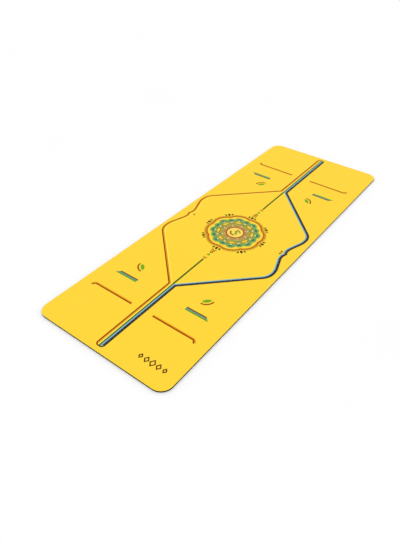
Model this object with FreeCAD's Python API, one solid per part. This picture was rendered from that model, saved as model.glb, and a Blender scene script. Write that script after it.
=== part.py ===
import FreeCAD, Part
import math
import os

# Printed exercise mat: four bonded plies, die-cut to one outline, with the guide
# lines and the rosette printed on the top ply as thin ink films.
# Millimetres. X runs across the mat, Y along it, Z up. The origin is the middle of
# the underside, which lies on the floor.

# --- Mat and plies -------------------------------------------------------------
MAT_WIDTH = 650.0
MAT_LENGTH = 1830.0
CORNER_RADIUS = 50.0
FOAM_THICKNESS = 6.9
ADHESIVE_THICKNESS = 0.1
CARRIER_THICKNESS = 0.4
SKIN_THICKNESS = 0.6

# Cross grooves moulded in the underside for grip.
GROOVE_PITCH = 12.0
GROOVE_WIDTH = 3.0
GROOVE_DEPTH = 0.6
GROOVE_FREE_END = 60.0

# --- Ink -----------------------------------------------------------------------
INK_THICKNESS = 0.1
INK_GAP = 0.3
PRINT_CENTRE_X = -3.5
PRINT_CENTRE_Y = -12.5

# --- Guide lines ---------------------------------------------------------------
LINE_WIDTH = 5.5
LINES_PER_SIDE = 3
OPEN_LINE_WIDTH = 8.0
STEM_END_MARGIN = 24.0
STEM_CORNER_RADIUS = 14.0
CONTOUR_EDGE_MARGIN = 24.0
SHOULDER_CORNER_Y = 179.4
SHOULDER_RADIUS = 78.0
LEAN_TOP_Y = 123.5
LEAN_TOP_RADIUS = 132.0
LEAN_BOTTOM_Y = 36.5
LEAN_BOTTOM_RADIUS = 98.0
WAIST_INSET = 30.0
WAIST_POINT_OUT = 6.0
WAIST_POINT_HALF_HEIGHT = 19.0
JUNCTION_RADIUS = 6.0

# --- Bars and leaf marks beside the stem ---------------------------------------
CROSS_BAR_FROM_JUNCTION = 186.0
CROSS_BAR_WIDTH = 6.5
CROSS_BAR_EDGE_WIDTH = 4.5
CROSS_BAR_INNER_X = 56.0
CROSS_BAR_OUTER_X = 258.0
CROSS_BAR_BEND_RADIUS = 12.0
CROSS_BAR_HOOK_X = 9.0
CROSS_BAR_HOOK_Y = 14.0
GUIDE_BAR_FROM_JUNCTION = 63.5
GUIDE_BAR_HEIGHT = 6.0
GUIDE_BAR_INNER_X = 131.0
GUIDE_BAR_OUTER_X = 226.0
LEAF_LENGTH = 42.0
LEAF_WIDTH = 17.0
LEAF_FROM_ARC_CENTRE = 18.0
LEAF_ARC_RADIUS = 37.5
LEAF_ARC_WIDTH = 6.5
LEAF_MARK_NEAR_X = 161.0
LEAF_MARK_FAR_X = 125.0
LEAF_MARK_BEFORE_JUNCTION = 21.0

# --- Rosette, from its middle outwards -------------------------------------------
DISC_RADIUS = 38.0
MOTIF_ARC_RADIUS = 21.5
MOTIF_ARC_WIDTH = 9.0
MOTIF_SMALL_ARC_RADIUS = 23.0
MOTIF_SMALL_ARC_WIDTH = 5.5
MOTIF_LEAF_LENGTH = 24.0
MOTIF_LEAF_WIDTH = 12.0
BORDER_WIDTH = 6.0
ROSE_RING_WIDTH = 12.4
ROSE_DOT_LENGTH = 16.0
ROSE_DOT_WIDTH = 7.0
FIELD_WIDTH = 33.0
PEARL_RADIUS = 3.2
PEARL_MARGIN = 0.5
OLIVE_PETAL_LENGTH = 14.0
OLIVE_PETAL_WIDTH = 13.0
CREAM_DOT_RADIUS = 4.2
FIELD_DOT_MARGIN = 1.8
GOLD_PETAL_LENGTH = 36.0
GOLD_PETAL_WIDTH = 13.0
GOLD_RIM_WIDTH = 3.0
GOLD_RIM_MARGIN = 0.4
LOBES = 8
PETAL_BAND_WIDTH = 30.4
PETAL_ROOT_WIDTH = 9.0
LARGE_PETAL_RADIUS = 24.0
SMALL_PETAL_RADIUS = 21.5
SMALL_PETAL_DROP = 5.5
PETAL_CORE_LENGTH = 20.0
PETAL_CORE_WIDTH = 11.0
PETAL_CORE_FROM_PEAK = 15.5
PETAL_DOT_MARGIN = 0.8
LOBE_CLEARANCE = 6.8
LOBE_RING_WIDTH = 8.5
LOBE_DEPTH = 9.5
FRINGE_TICKS = 128
FRINGE_LENGTH = 9.0
FRINGE_ROOT_WIDTH = 4.4
FRINGE_TIP_WIDTH = 1.8

# --- Small marks around the rosette --------------------------------------------
SATELLITE_GAP = 1.2
SATELLITE_LENGTH = 19.0
SATELLITE_WIDTH = 13.0
SATELLITE_SIDE_LENGTH = 15.0
SATELLITE_SIDE_WIDTH = 9.5
SATELLITE_SIDE_SHIFT = 16.0
SATELLITE_SIDE_TURN = 24.0
TAIL_CHEVRONS = 3
TAIL_CHEVRON_PITCH = 11.0
TAIL_CHEVRON_WIDTH = 24.0
TAIL_CHEVRON_TAPER = 4.0
TAIL_CHEVRON_THICKNESS = 5.0
TAIL_CHEVRON_DROP = 8.0
TAIL_DROP_LENGTH = 16.0
TAIL_DROP_WIDTH = 14.0
TAIL_GAP = 4.5
TAIL_DROP_GAP = 4.0
TAIL_CAP_GAP = 14.0
TAIL_CAP_WIDTH = 26.0
TAIL_CAP_HEIGHT = 18.0
WAIST_MARK_GAP = 3.0
WAIST_MARK_LENGTH = 16.0
WAIST_MARK_WIDTH = 9.0
CORNER_LOZENGES = 5
CORNER_LOZENGE_PITCH = 28.0
CORNER_LOZENGE_HEIGHT = 36.0
CORNER_LOZENGE_STEP = 5.0
CORNER_STROKE = 4.6
CORNER_MARK_FROM_SIDE = 119.0
CORNER_MARK_PLACE = 0.655

# --- Values that follow from the ones above ------------------------------------
LINE_PITCH = LINE_WIDTH + INK_GAP
STEM_HALF = LINES_PER_SIDE * LINE_PITCH
CARRIER_BOTTOM = FOAM_THICKNESS + ADHESIVE_THICKNESS
SKIN_BOTTOM = CARRIER_BOTTOM + CARRIER_THICKNESS
SKIN_TOP = SKIN_BOTTOM + SKIN_THICKNESS
SHOULDER_X = MAT_WIDTH / 2 - CONTOUR_EDGE_MARGIN
WAIST_X = SHOULDER_X - WAIST_INSET
JUNCTION_Y = SHOULDER_CORNER_Y + SHOULDER_X - STEM_HALF
NEAR_END_Y = -MAT_LENGTH / 2 + STEM_END_MARGIN - PRINT_CENTRE_Y
FAR_END_Y = MAT_LENGTH / 2 - STEM_END_MARGIN - PRINT_CENTRE_Y
CROSS_BAR_Y = JUNCTION_Y + CROSS_BAR_FROM_JUNCTION
CROSS_BAR_END_Y = CROSS_BAR_Y + CROSS_BAR_HOOK_Y + CROSS_BAR_WIDTH / 2
BORDER_INNER_RADIUS = DISC_RADIUS + INK_GAP
BORDER_OUTER_RADIUS = BORDER_INNER_RADIUS + BORDER_WIDTH
ROSE_INNER_RADIUS = BORDER_OUTER_RADIUS + INK_GAP
ROSE_OUTER_RADIUS = ROSE_INNER_RADIUS + ROSE_RING_WIDTH
FIELD_INNER_RADIUS = ROSE_OUTER_RADIUS + INK_GAP
FIELD_OUTER_RADIUS = FIELD_INNER_RADIUS + FIELD_WIDTH
PETAL_BAND_INNER_RADIUS = FIELD_OUTER_RADIUS + INK_GAP
LARGE_PETAL_PEAK = PETAL_BAND_INNER_RADIUS + PETAL_BAND_WIDTH
SMALL_PETAL_PEAK = LARGE_PETAL_PEAK - SMALL_PETAL_DROP
LOBE_NOTCH_RADIUS = SMALL_PETAL_PEAK + LOBE_CLEARANCE + LOBE_RING_WIDTH
LOBE_PEAK_RADIUS = LOBE_NOTCH_RADIUS + LOBE_DEPTH
HALF_LOBE = 180.0 / LOBES
SATELLITE_RADIUS = LOBE_NOTCH_RADIUS + FRINGE_LENGTH + SATELLITE_GAP + SATELLITE_LENGTH / 2
TAIL_START = SATELLITE_RADIUS + SATELLITE_LENGTH / 2 + TAIL_GAP
TAIL_DROP_START = TAIL_START + TAIL_CHEVRONS * TAIL_CHEVRON_PITCH + TAIL_DROP_GAP
TAIL_CAP_START = TAIL_DROP_START + TAIL_DROP_LENGTH + TAIL_CAP_GAP
GREEN_LINE_START = TAIL_CAP_START + TAIL_CAP_HEIGHT + INK_GAP


# --- Outlines ------------------------------------------------------------------
# A corner is (x, y, fillet radius). A fillet radius of zero is a sharp corner.

def point(x, y):
    return FreeCAD.Vector(x, y, 0)


def polar(radius, degrees):
    angle = math.radians(degrees)
    return point(radius * math.cos(angle), radius * math.sin(angle))


def unit(start, end):
    length = math.hypot(end[0] - start[0], end[1] - start[1])
    return ((end[0] - start[0]) / length, (end[1] - start[1]) / length)


def turn_between(u, v):
    """Signed turn from direction u to direction v, positive to the left."""
    return math.atan2(u[0] * v[1] - u[1] * v[0], u[0] * v[0] + u[1] * v[1])


def fillet_at(corner, u, v):
    """Start, middle and end of the fillet of one corner between two directions."""
    x, y, radius = corner
    turn = abs(turn_between(u, v))
    reach = radius * math.tan(turn / 2)
    depth = radius / math.cos(turn / 2) - radius
    inward = unit((0, 0), (v[0] - u[0], v[1] - u[1]))
    start = point(x - u[0] * reach, y - u[1] * reach)
    middle = point(x + inward[0] * depth, y + inward[1] * depth)
    end = point(x + v[0] * reach, y + v[1] * reach)
    return start, middle, end


def closed_wire(corners):
    """A closed outline of straight runs, with a tangent arc at each filleted corner."""
    edges = []
    stops = []
    count = len(corners)
    for i, corner in enumerate(corners):
        u = unit(corners[i - 1], corner)
        v = unit(corner, corners[(i + 1) % count])
        if corner[2] > 0:
            start, middle, end = fillet_at(corner, u, v)
            edges.append(Part.Arc(start, middle, end).toShape())
            stops.append((start, end))
        else:
            stops.append((point(corner[0], corner[1]), point(corner[0], corner[1])))
    for i in range(count):
        leave = stops[i][1]
        arrive = stops[(i + 1) % count][0]
        if leave.distanceToPoint(arrive) > 1e-4:
            edges.append(Part.LineSegment(leave, arrive).toShape())
    return Part.Wire(Part.__sortEdges__(edges))


def offset_corners(corners, shift):
    """An open run of corners moved sideways, to its left for a positive shift."""
    moved = []
    last = len(corners) - 1
    for i, (x, y, radius) in enumerate(corners):
        u = unit(corners[max(i - 1, 0)], corners[max(i, 1)])
        v = unit(corners[min(i, last - 1)], corners[min(i + 1, last)])
        turn = turn_between(u, v)
        reach = shift / math.cos(turn / 2)
        heading = math.atan2(u[1], u[0]) + turn / 2 + math.pi / 2
        if radius > 0:
            radius = max(radius - math.copysign(1, turn) * shift, 0)
        moved.append((x + reach * math.cos(heading), y + reach * math.sin(heading), radius))
    return moved


def band_face(corners, shift, width):
    """The face of a line of the given width that runs beside a run of corners."""
    left = offset_corners(corners, shift + width / 2)
    right = offset_corners(corners, shift - width / 2)
    return Part.Face(closed_wire(left + right[::-1]))


def trimmed(face, cutter):
    """The largest piece of a face that is left beside a cutting face."""
    return max(face.cut(cutter).Faces, key=lambda piece: piece.Area)


def polygon_face(corners):
    return Part.Face(closed_wire([(x, y, 0) for x, y in corners]))


def lozenge_face(half_x, half_y):
    return polygon_face([(-half_x, 0), (0, -half_y), (half_x, 0), (0, half_y)])


def disc_face(radius):
    return Part.Face(Part.Wire(Part.makeCircle(radius)))


def ring_face(outer, inner):
    return disc_face(outer).cut(disc_face(inner))


def scallop_arc(count, notch_radius, peak_radius):
    """Radius of one scallop's arc, and how far its centre is from the middle."""
    half = math.pi / count
    middle = (peak_radius ** 2 - notch_radius ** 2) / (2 * (peak_radius - notch_radius * math.cos(half)))
    return peak_radius - middle, middle


def scallop_reach(degrees, count, notch_radius, peak_radius):
    """Distance from the middle to a scalloped edge in one direction."""
    arc_radius, middle = scallop_arc(count, notch_radius, peak_radius)
    step = 360.0 / count
    away = math.radians((degrees % step) - step / 2)
    across = middle * math.sin(away)
    return middle * math.cos(away) + math.sqrt(arc_radius ** 2 - across ** 2)


def scallop_face(count, notch_radius, peak_radius):
    """A disc whose edge is a run of equal arcs that bulge outwards between notches."""
    step = 360.0 / count
    edges = []
    for i in range(count):
        start = i * step
        ends = (polar(notch_radius, start), polar(notch_radius, start + step))
        peak = polar(peak_radius, start + step / 2)
        edges.append(Part.Arc(ends[0], peak, ends[1]).toShape())
    return Part.Face(Part.Wire(edges))


def lens_face(length, width):
    """A leaf of two equal arcs, with its long axis along X and its middle at the origin."""
    tip = length / 2
    side = width / 2
    upper = Part.Arc(point(-tip, 0), point(0, side), point(tip, 0)).toShape()
    lower = Part.Arc(point(tip, 0), point(0, -side), point(-tip, 0)).toShape()
    return Part.Face(Part.Wire([upper, lower]))


def lens_rim_face(length, width, rim):
    """A rim round a leaf, a gap away from it, that is widest at the leaf's tips."""
    outer = lens_face(length + 3 * rim, width + 2 * rim)
    return outer.cut(lens_face(length + 3 * INK_GAP, width + 2 * INK_GAP))


def drop_face(length, width):
    """A drop that points along +X, with its round end on the origin side."""
    radius = width / 2
    reach = length - radius
    spread = math.acos(radius / reach)
    side = (radius * math.cos(spread), radius * math.sin(spread))
    top = point(radius + side[0], side[1])
    bottom = point(radius + side[0], -side[1])
    tip = point(length, 0)
    edges = [
        Part.Arc(top, point(0, 0), bottom).toShape(),
        Part.LineSegment(bottom, tip).toShape(),
        Part.LineSegment(tip, top).toShape(),
    ]
    return Part.Face(Part.Wire(edges))


def arc_band_face(radius, width, start, end):
    """A bent bar of constant width around the origin, between two directions in degrees."""
    outer = radius + width / 2
    inner = radius - width / 2
    middle = (start + end) / 2
    edges = [
        Part.Arc(polar(outer, start), polar(outer, middle), polar(outer, end)).toShape(),
        Part.LineSegment(polar(outer, end), polar(inner, end)).toShape(),
        Part.Arc(polar(inner, end), polar(inner, middle), polar(inner, start)).toShape(),
        Part.LineSegment(polar(inner, start), polar(outer, start)).toShape(),
    ]
    return Part.Face(Part.Wire(edges))


def placed(face, x, y, degrees=0.0):
    """A copy of a face, turned about the origin and then moved."""
    copy = face.copy()
    copy.rotate(FreeCAD.Vector(0, 0, 0), FreeCAD.Vector(0, 0, 1), degrees)
    copy.translate(FreeCAD.Vector(x, y, 0))
    return copy


def around(face, radius, count, phase=0.0, side=0.0, turn=0.0):
    """Copies of a face that points along +X, set round the origin at a radius."""
    copies = []
    for i in range(count):
        copy = placed(face, radius, side, turn)
        copy.rotate(FreeCAD.Vector(0, 0, 0), FreeCAD.Vector(0, 0, 1), phase + i * 360.0 / count)
        copies.append(copy)
    return copies


def mirrored(face, x, y):
    """A face mirrored in the plane through the origin with the given normal."""
    return face.mirror(FreeCAD.Vector(0, 0, 0), point(x, y))


def both_sides(face):
    return [face, mirrored(face, 1, 0)]


def four_ways(face):
    """A face in the first quadrant, and its mirror copies in the other three."""
    far = both_sides(face)
    return far + [mirrored(item, 0, 1) for item in far]


# --- Solids and nodes ----------------------------------------------------------

def faces_of(shape):
    return shape.Faces if shape.ShapeType != "Face" else [shape]


def export(name, solids):
    """Write one node as a closed solid, or as a group of separate closed solids."""
    shape = solids[0] if len(solids) == 1 else Part.makeCompound(solids)
    shape.exportStep(os.path.join("parts", name + ".step"))


def export_film(name, shapes, layer=0):
    """One ink film, on the top ply or, from layer 1, on the film below it."""
    bottom = SKIN_TOP + layer * INK_THICKNESS
    solids = []
    for shape in shapes:
        for face in faces_of(shape):
            flat = placed(face, PRINT_CENTRE_X, PRINT_CENTRE_Y)
            solid = flat.extrude(FreeCAD.Vector(0, 0, INK_THICKNESS))
            solid.translate(FreeCAD.Vector(0, 0, bottom))
            solids.append(solid)
    export(name, solids)


# --- Plies ---------------------------------------------------------------------

def ply_solid(bottom, thickness):
    half_x = MAT_WIDTH / 2
    half_y = MAT_LENGTH / 2
    corners = [(-half_x, -half_y), (half_x, -half_y), (half_x, half_y), (-half_x, half_y)]
    outline = closed_wire([(x, y, CORNER_RADIUS) for x, y in corners])
    solid = Part.Face(outline).extrude(FreeCAD.Vector(0, 0, thickness))
    solid.translate(FreeCAD.Vector(0, 0, bottom))
    return solid


def groove_tool():
    """All the underside grooves as one toothed slab, to cut from the foam."""
    field = MAT_LENGTH - 2 * GROOVE_FREE_END
    count = int(field // GROOVE_PITCH)
    first = -(count - 1) * GROOVE_PITCH / 2 - GROOVE_WIDTH / 2
    grooves = []
    for i in range(count):
        corner = FreeCAD.Vector(-MAT_WIDTH, first + i * GROOVE_PITCH, 0)
        grooves.append(Part.makeBox(2 * MAT_WIDTH, GROOVE_WIDTH, GROOVE_DEPTH, corner))
    return Part.makeCompound(grooves)


def make_plies():
    foam = ply_solid(0, FOAM_THICKNESS).cut(groove_tool())
    export("foam_base", foam.Solids)
    export("adhesive_film", [ply_solid(FOAM_THICKNESS, ADHESIVE_THICKNESS)])
    export("carrier_fabric", [ply_solid(CARRIER_BOTTOM, CARRIER_THICKNESS)])
    export("top_skin", [ply_solid(SKIN_BOTTOM, SKIN_THICKNESS)])


# --- Guide lines ---------------------------------------------------------------

def contour_corners():
    """Right-hand outer line from the near end of its stem to the far end of it."""
    half = [
        (STEM_HALF, JUNCTION_Y, JUNCTION_RADIUS),
        (SHOULDER_X, SHOULDER_CORNER_Y, SHOULDER_RADIUS),
        (SHOULDER_X, LEAN_TOP_Y, LEAN_TOP_RADIUS),
        (WAIST_X, LEAN_BOTTOM_Y, LEAN_BOTTOM_RADIUS),
        (WAIST_X, WAIST_POINT_HALF_HEIGHT, 0),
    ]
    near = [(x, -y, radius) for x, y, radius in half]
    point_out = [(WAIST_X + WAIST_POINT_OUT, 0, 0)]
    return near + point_out + half[::-1]


def outer_line_corners():
    """The outer line with its stem and the half of each end cap that it closes."""
    near_cap = [(INK_GAP / 2, NEAR_END_Y, 0), (STEM_HALF, NEAR_END_Y, STEM_CORNER_RADIUS)]
    far_cap = [(STEM_HALF, FAR_END_Y, STEM_CORNER_RADIUS), (INK_GAP / 2, FAR_END_Y, 0)]
    return near_cap + contour_corners() + far_cap


def side_line_faces():
    """The three right-hand lines from the outer one inwards.

    The inner two run beside the outer one and stop a gap short of its end caps.
    """
    outer = outer_line_corners()
    cap = band_face(outer, 0, LINE_WIDTH + 2 * INK_GAP)
    stem_ends = [(STEM_HALF, NEAR_END_Y, 0)], [(STEM_HALF, FAR_END_Y, 0)]
    straight = stem_ends[0] + contour_corners() + stem_ends[1]
    faces = [band_face(outer, 0, LINE_WIDTH)]
    for ring in range(1, LINES_PER_SIDE):
        faces.append(trimmed(band_face(straight, ring * LINE_PITCH, LINE_WIDTH), cap))
    return faces


def green_line_face(end):
    """The far centre line, which widens where its neighbours turn away from it."""
    half = LINE_WIDTH / 2
    wide = OPEN_LINE_WIDTH / 2
    open_y = JUNCTION_Y - (STEM_HALF - half - INK_GAP) * math.tan(math.pi / 8)
    wide_y = open_y - (wide - half)
    right = [(half, end), (half, open_y), (wide, wide_y), (wide, GREEN_LINE_START)]
    left = [(-x, y) for x, y in right]
    return polygon_face(left + right[::-1])


def make_guide_lines():
    right = side_line_faces()
    for colour, face in zip(("violet", "navy", "sky"), right):
        export_film("line_" + colour, [face])
    for colour, face in zip(("red", "orange", "yellow"), right):
        export_film("line_" + colour, [mirrored(face, 1, 0)])
    cap = LINE_WIDTH / 2 + INK_GAP
    near = mirrored(green_line_face(-NEAR_END_Y - cap), 0, 1)
    export_film("line_green", [near, green_line_face(FAR_END_Y - cap)])


# --- Bars and leaf marks -------------------------------------------------------

def make_cross_bars():
    """Long bars across the mat, each with a hooked outer end and an edge on its inner side."""
    corners = [
        (CROSS_BAR_INNER_X, CROSS_BAR_Y, 0),
        (CROSS_BAR_OUTER_X, CROSS_BAR_Y, CROSS_BAR_BEND_RADIUS),
        (CROSS_BAR_OUTER_X + CROSS_BAR_HOOK_X, CROSS_BAR_Y + CROSS_BAR_HOOK_Y, 0),
    ]
    export_film("cross_bars", four_ways(band_face(corners, 0, CROSS_BAR_WIDTH)))
    inward = (CROSS_BAR_WIDTH + CROSS_BAR_EDGE_WIDTH) / 2 + INK_GAP
    export_film("cross_bar_edges", four_ways(band_face(corners, -inward, CROSS_BAR_EDGE_WIDTH)))


def make_guide_bars():
    """Stacks of three short bars with one slanted end."""
    for i, colour in enumerate(("plum", "grey", "green")):
        low = JUNCTION_Y + GUIDE_BAR_FROM_JUNCTION + i * (GUIDE_BAR_HEIGHT + INK_GAP)
        high = low + GUIDE_BAR_HEIGHT
        slant = low - JUNCTION_Y - GUIDE_BAR_FROM_JUNCTION
        outer = GUIDE_BAR_OUTER_X + slant
        bar = polygon_face([
            (GUIDE_BAR_INNER_X, low), (outer, low),
            (outer + GUIDE_BAR_HEIGHT, high), (GUIDE_BAR_INNER_X, high)])
        export_film("guide_bars_" + colour, four_ways(bar))


def make_leaf_marks():
    """A leaf inside a quarter arc on each side, closer together at the far end."""
    leaf = placed(lens_face(LEAF_LENGTH, LEAF_WIDTH), 0, LEAF_FROM_ARC_CENTRE)
    arc = arc_band_face(LEAF_ARC_RADIUS, LEAF_ARC_WIDTH, 0, 90)
    y = JUNCTION_Y - LEAF_MARK_BEFORE_JUNCTION
    for name, mark, turn in (("leaf_marks", leaf, -45), ("leaf_arcs", arc, 0)):
        near = [mirrored(item, 0, 1) for item in both_sides(placed(mark, LEAF_MARK_NEAR_X, y, turn))]
        far = both_sides(placed(mark, LEAF_MARK_FAR_X, y, turn))
        export_film(name, near + far)


def make_waist_marks():
    """A drop inside the left waist, and a pair of leaves inside the right one."""
    inner_edge = WAIST_X - (LINES_PER_SIDE - 1) * LINE_PITCH - LINE_WIDTH / 2
    x = inner_edge - WAIST_MARK_GAP - WAIST_MARK_WIDTH / 2
    drop = placed(drop_face(WAIST_MARK_LENGTH, WAIST_MARK_WIDTH), -x, WAIST_MARK_LENGTH / 2, -65)
    leaf = lens_face(WAIST_MARK_LENGTH, WAIST_MARK_WIDTH)
    pair = [placed(leaf, x, side * WAIST_MARK_LENGTH / 2, 90 + side * 15) for side in (-1, 1)]
    export_film("waist_mark_left", [drop])
    export_film("waist_mark_right", pair)


# --- Rosette -------------------------------------------------------------------

def fringe_ticks():
    """Tapered ticks that stand on the lobed ring all the way round."""
    half_root = FRINGE_ROOT_WIDTH / 2
    half_tip = FRINGE_TIP_WIDTH / 2
    clear = scallop_face(LOBES, LOBE_NOTCH_RADIUS + INK_GAP, LOBE_PEAK_RADIUS + INK_GAP)
    ticks = []
    for i in range(FRINGE_TICKS):
        degrees = (i + 0.5) * 360.0 / FRINGE_TICKS
        edge = scallop_reach(degrees, LOBES, LOBE_NOTCH_RADIUS, LOBE_PEAK_RADIUS)
        root = edge - half_root
        tip = edge + FRINGE_LENGTH
        tick = polygon_face([(root, -half_root), (tip, -half_tip), (tip, half_tip), (root, half_root)])
        ticks.append(trimmed(placed(tick, 0, 0, degrees), clear))
    return ticks


def petal_band_face():
    """Eight large petals at the lobes, and eight smaller ones between them."""
    petals = []
    for radius, peak, phase in (
            (LARGE_PETAL_RADIUS, LARGE_PETAL_PEAK, HALF_LOBE),
            (SMALL_PETAL_RADIUS, SMALL_PETAL_PEAK, 0.0)):
        petals += around(disc_face(radius), peak - radius, LOBES, phase)
    root = disc_face(PETAL_BAND_INNER_RADIUS + PETAL_ROOT_WIDTH)
    flower = root.multiFuse(petals).removeSplitter()
    return flower.cut(disc_face(PETAL_BAND_INNER_RADIUS))


def make_rosette_rings():
    """The films printed straight on the top ply, from the fringe to the middle disc."""
    export_film("rosette_fringe", fringe_ticks())
    lobes = scallop_face(LOBES, LOBE_NOTCH_RADIUS, LOBE_PEAK_RADIUS)
    hollow = scallop_face(LOBES, LOBE_NOTCH_RADIUS - LOBE_RING_WIDTH, LOBE_PEAK_RADIUS - LOBE_RING_WIDTH)
    export_film("rosette_lobe_ring", [lobes.cut(hollow)])
    export_film("rosette_petal_band", [petal_band_face()])
    export_film("rosette_field", [ring_face(FIELD_OUTER_RADIUS, FIELD_INNER_RADIUS)])
    export_film("rosette_rose_ring", [ring_face(ROSE_OUTER_RADIUS, ROSE_INNER_RADIUS)])
    export_film("rosette_border", [ring_face(BORDER_OUTER_RADIUS, BORDER_INNER_RADIUS)])
    export_film("rosette_disc", [disc_face(DISC_RADIUS)])


def make_petal_details():
    """A dark core in each petal of the band, and a pale dot under each large one's core."""
    core = lens_face(PETAL_CORE_LENGTH, PETAL_CORE_WIDTH)
    large = LARGE_PETAL_PEAK - PETAL_CORE_FROM_PEAK
    small = SMALL_PETAL_PEAK - PETAL_CORE_FROM_PEAK
    cores = around(core, large, LOBES, HALF_LOBE, turn=90) + around(core, small, LOBES, turn=90)
    export_film("rosette_petal_cores", cores, 1)
    dot = disc_face(CREAM_DOT_RADIUS)
    inner = FIELD_OUTER_RADIUS - FIELD_DOT_MARGIN - CREAM_DOT_RADIUS
    outer = PETAL_BAND_INNER_RADIUS + PETAL_DOT_MARGIN + CREAM_DOT_RADIUS
    dots = around(dot, outer, LOBES, HALF_LOBE) + around(dot, inner, LOBES)
    export_film("rosette_cream_dots", dots, 1)


def make_field_details():
    """Rimmed gold petals at the lobes, with olive petals and pearls between them."""
    middle = FIELD_OUTER_RADIUS - GOLD_RIM_MARGIN - GOLD_RIM_WIDTH - GOLD_PETAL_WIDTH / 2
    gold = lens_face(GOLD_PETAL_LENGTH, GOLD_PETAL_WIDTH)
    rim = lens_rim_face(GOLD_PETAL_LENGTH, GOLD_PETAL_WIDTH, GOLD_RIM_WIDTH)
    export_film("rosette_gold_petals", around(gold, middle, LOBES, HALF_LOBE, turn=90), 1)
    export_film("rosette_petal_rims", around(rim, middle, LOBES, HALF_LOBE, turn=90), 1)
    pearl_radius = FIELD_INNER_RADIUS + PEARL_MARGIN + PEARL_RADIUS
    export_film("rosette_pearls", around(disc_face(PEARL_RADIUS), pearl_radius, LOBES), 1)
    olive = lens_face(OLIVE_PETAL_LENGTH, OLIVE_PETAL_WIDTH)
    olive_radius = pearl_radius + PEARL_RADIUS + PEARL_MARGIN + OLIVE_PETAL_LENGTH / 2
    export_film("rosette_olive_petals", around(olive, olive_radius, LOBES), 1)
    rose = lens_face(ROSE_DOT_LENGTH, ROSE_DOT_WIDTH)
    rose_middle = (ROSE_OUTER_RADIUS + ROSE_INNER_RADIUS) / 2
    export_film("rosette_rose_dots", around(rose, rose_middle, LOBES, turn=90), 1)


def make_rosette_motif():
    """Two plain crescents and two leaves on the middle disc."""
    large = arc_band_face(MOTIF_ARC_RADIUS, MOTIF_ARC_WIDTH, 178, 292)
    small = arc_band_face(MOTIF_SMALL_ARC_RADIUS, MOTIF_SMALL_ARC_WIDTH, 15, 105)
    export_film("rosette_crescents", [large, small], 1)
    leaf = lens_face(MOTIF_LEAF_LENGTH, MOTIF_LEAF_WIDTH)
    leaves = [placed(leaf, 2, 10, 12), placed(leaf, 7, -5, -40)]
    export_film("rosette_leaves", leaves, 1)


# --- Small marks ---------------------------------------------------------------

def make_satellites():
    """Eight sprigs around the rosette, each with one middle and two side petals."""
    middle = lens_face(SATELLITE_LENGTH, SATELLITE_WIDTH)
    export_film("sprig_middles", around(middle, SATELLITE_RADIUS, LOBES))
    petal = lens_face(SATELLITE_SIDE_LENGTH, SATELLITE_SIDE_WIDTH)
    sides = []
    for side in (-1, 1):
        sides += around(petal, SATELLITE_RADIUS, LOBES, side=side * SATELLITE_SIDE_SHIFT,
                        turn=side * SATELLITE_SIDE_TURN)
    export_film("sprig_sides", sides)


def make_tails():
    """What leads from the rosette to the green line at both ends."""
    chevrons = []
    for i in range(TAIL_CHEVRONS):
        start = TAIL_START + i * TAIL_CHEVRON_PITCH
        half = (TAIL_CHEVRON_WIDTH - i * TAIL_CHEVRON_TAPER) / 2
        corners = [(-half, start, 0), (0, start + TAIL_CHEVRON_DROP, 0), (half, start, 0)]
        chevrons.append(band_face(corners, 0, TAIL_CHEVRON_THICKNESS))
    drop = placed(drop_face(TAIL_DROP_LENGTH, TAIL_DROP_WIDTH), 0, TAIL_DROP_START + TAIL_DROP_LENGTH, -90)
    half = TAIL_CAP_WIDTH / 2
    cap_tip = (0, TAIL_CAP_START + TAIL_CAP_HEIGHT)
    cap = polygon_face([(-half, TAIL_CAP_START), (half, TAIL_CAP_START), cap_tip])
    for name, shapes in (("tail_chevrons", chevrons), ("tail_drops", [drop]), ("tail_caps", [cap])):
        pairs = []
        for shape in shapes:
            pairs += [shape, placed(shape, 0, 0, 180)]
        export_film(name, pairs)


def make_corner_mark():
    """A plain row of lozenge frames in the near right corner.

    Its place along the mat is a share of the way from the cross bars to the mat's end.
    """
    lozenges = []
    middle = (CORNER_LOZENGES - 1) / 2
    x = MAT_WIDTH / 2 - CORNER_MARK_FROM_SIDE - PRINT_CENTRE_X
    y = -CROSS_BAR_END_Y - CORNER_MARK_PLACE * (MAT_LENGTH / 2 + PRINT_CENTRE_Y - CROSS_BAR_END_Y)
    for i in range(CORNER_LOZENGES):
        away = i - middle
        half_y = (CORNER_LOZENGE_HEIGHT - abs(away) * CORNER_LOZENGE_STEP) / 2
        half_x = half_y * (CORNER_LOZENGE_PITCH - INK_GAP) / CORNER_LOZENGE_HEIGHT
        inset = CORNER_STROKE / half_x * math.hypot(half_x, half_y)
        frame = lozenge_face(half_x, half_y).cut(lozenge_face(half_x * (1 - inset / half_y), half_y - inset))
        lozenges.append(placed(frame, x + away * CORNER_LOZENGE_PITCH, y))
    export_film("corner_mark", lozenges)


os.makedirs("parts", exist_ok=True)
make_plies()
make_guide_lines()
make_cross_bars()
make_guide_bars()
make_leaf_marks()
make_waist_marks()
make_rosette_rings()
make_petal_details()
make_field_details()
make_rosette_motif()
make_satellites()
make_tails()
make_corner_mark()
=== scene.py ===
import logging
import math
from dataclasses import dataclass
from enum import Enum
from functools import cache
from typing import Callable, Iterable, Mapping

import bmesh
import bpy
from bpy.types import ID, Material, Mesh, Node, NodeSocket, NodeTree, Object
from mathutils import Matrix, Vector


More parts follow.
